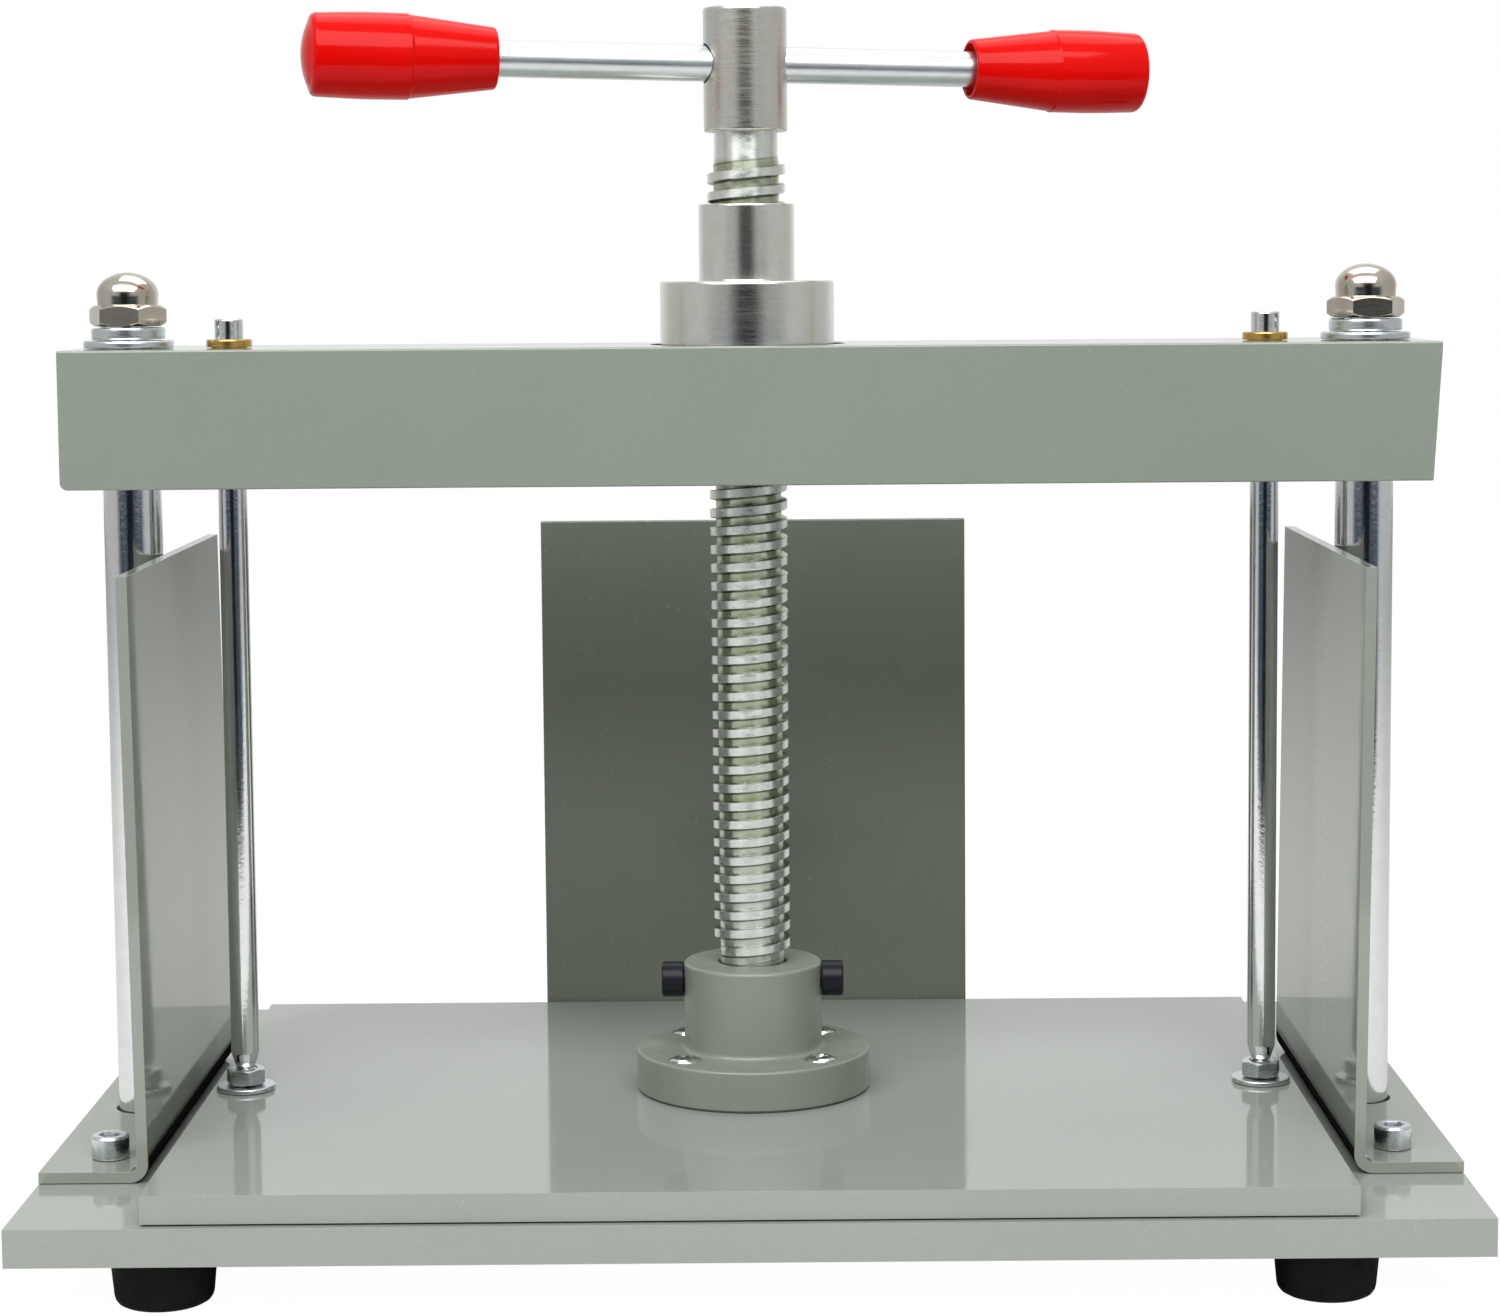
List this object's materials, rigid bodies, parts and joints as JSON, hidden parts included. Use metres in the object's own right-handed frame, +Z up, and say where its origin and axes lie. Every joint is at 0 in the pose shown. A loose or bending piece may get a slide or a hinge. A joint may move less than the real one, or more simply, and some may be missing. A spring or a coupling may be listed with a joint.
{
  "type": "bookbinding press",
  "caption": "Screw press for bookbinding: a flat platen on guide rods, driven down by a threaded screw with a sliding T-bar, under a cross beam on columns, with upright stack guides.",
  "frame": {"origin": "on the floor under the middle of the base plate", "axes": "+Z up, +X to the right of a person at the open front, -Y towards that person"},
  "size_m": [0.379, 0.25, 0.3373],
  "materials": {
    "green_grey_paint": "glossy powder coat",
    "hub_paint": "satin paint over a casting",
    "chromed_steel": "hard chrome, polished",
    "turned_steel": "turned and nickel plated",
    "nickel_steel": "bright nickel plate",
    "screw_steel": "zinc plated, lightly greased",
    "zinc_steel": "bright zinc plate",
    "black_steel": "black oxide",
    "brass": "turned",
    "black_rubber": "moulded",
    "red_plastic": "gloss"
  },
  "bodies": {
    "frame": {"base_plate": "green_grey_paint", "foot_front_left": "black_rubber", "foot_front_right": "black_rubber", "foot_rear_left": "black_rubber", "foot_rear_right": "black_rubber", "foot_screw_front_left": "zinc_steel", "foot_screw_front_right": "zinc_steel", "foot_screw_rear_left": "zinc_steel", "foot_screw_rear_right": "zinc_steel", "column_left": "chromed_steel", "column_right": "chromed_steel", "column_bolt_left": "black_steel", "column_bolt_right": "black_steel", "beam": "green_grey_paint", "beam_end_left": "green_grey_paint", "beam_end_right": "green_grey_paint", "press_nut": "turned_steel", "bushing_left": "brass", "bushing_right": "brass", "flat_washer_left": "zinc_steel", "flat_washer_right": "zinc_steel", "spring_washer_left": "zinc_steel", "spring_washer_right": "zinc_steel", "cap_nut_left": "nickel_steel", "cap_nut_right": "nickel_steel", "side_guide_left": "green_grey_paint", "side_guide_right": "green_grey_paint", "guide_bolt_left_front": "zinc_steel", "guide_bolt_left_rear": "zinc_steel", "guide_bolt_right_front": "zinc_steel", "guide_bolt_right_rear": "zinc_steel", "back_guide": "green_grey_paint", "back_bolt_left": "zinc_steel", "back_bolt_right": "zinc_steel"},
    "platen": {"platen": "green_grey_paint", "bearing_hub": "hub_paint", "hub_screw_front_left": "zinc_steel", "hub_screw_front_right": "zinc_steel", "hub_screw_rear_left": "zinc_steel", "hub_screw_rear_right": "zinc_steel", "retaining_screw_left": "black_steel", "retaining_screw_right": "black_steel", "thrust_pad": "brass", "guide_rod_left": "chromed_steel", "guide_rod_right": "chromed_steel", "rod_nut_left": "zinc_steel", "rod_nut_right": "zinc_steel", "rod_washer_left": "zinc_steel", "rod_washer_right": "zinc_steel"},
    "screw": {"press_screw": "screw_steel", "screw_head": "turned_steel"},
    "bar": {"tommy_bar": "chromed_steel", "grip_left": "red_plastic", "grip_right": "red_plastic"}
  },
  "joints": [
    {"name": "platen_lift", "type": "slide", "parent": "frame", "child": "platen", "axis": [0, 0, 1], "range_m": [0, 0.135]},
    {"name": "screw_turn", "type": "hinge", "parent": "platen", "child": "screw", "pos_m": [0, -0.013, 0.2], "axis": [0, 0, 1], "range_deg": [0, 9346.7]},
    {"name": "bar_slide", "type": "slide", "parent": "screw", "child": "bar", "axis": [0.9681, 0.2504, -0.0131], "range_m": [-0.053, 0.058]}
  ],
  "couplings": [
    {"joint": "screw_turn", "follows": "platen_lift", "rad_per_m": 1208.3}
  ]
}
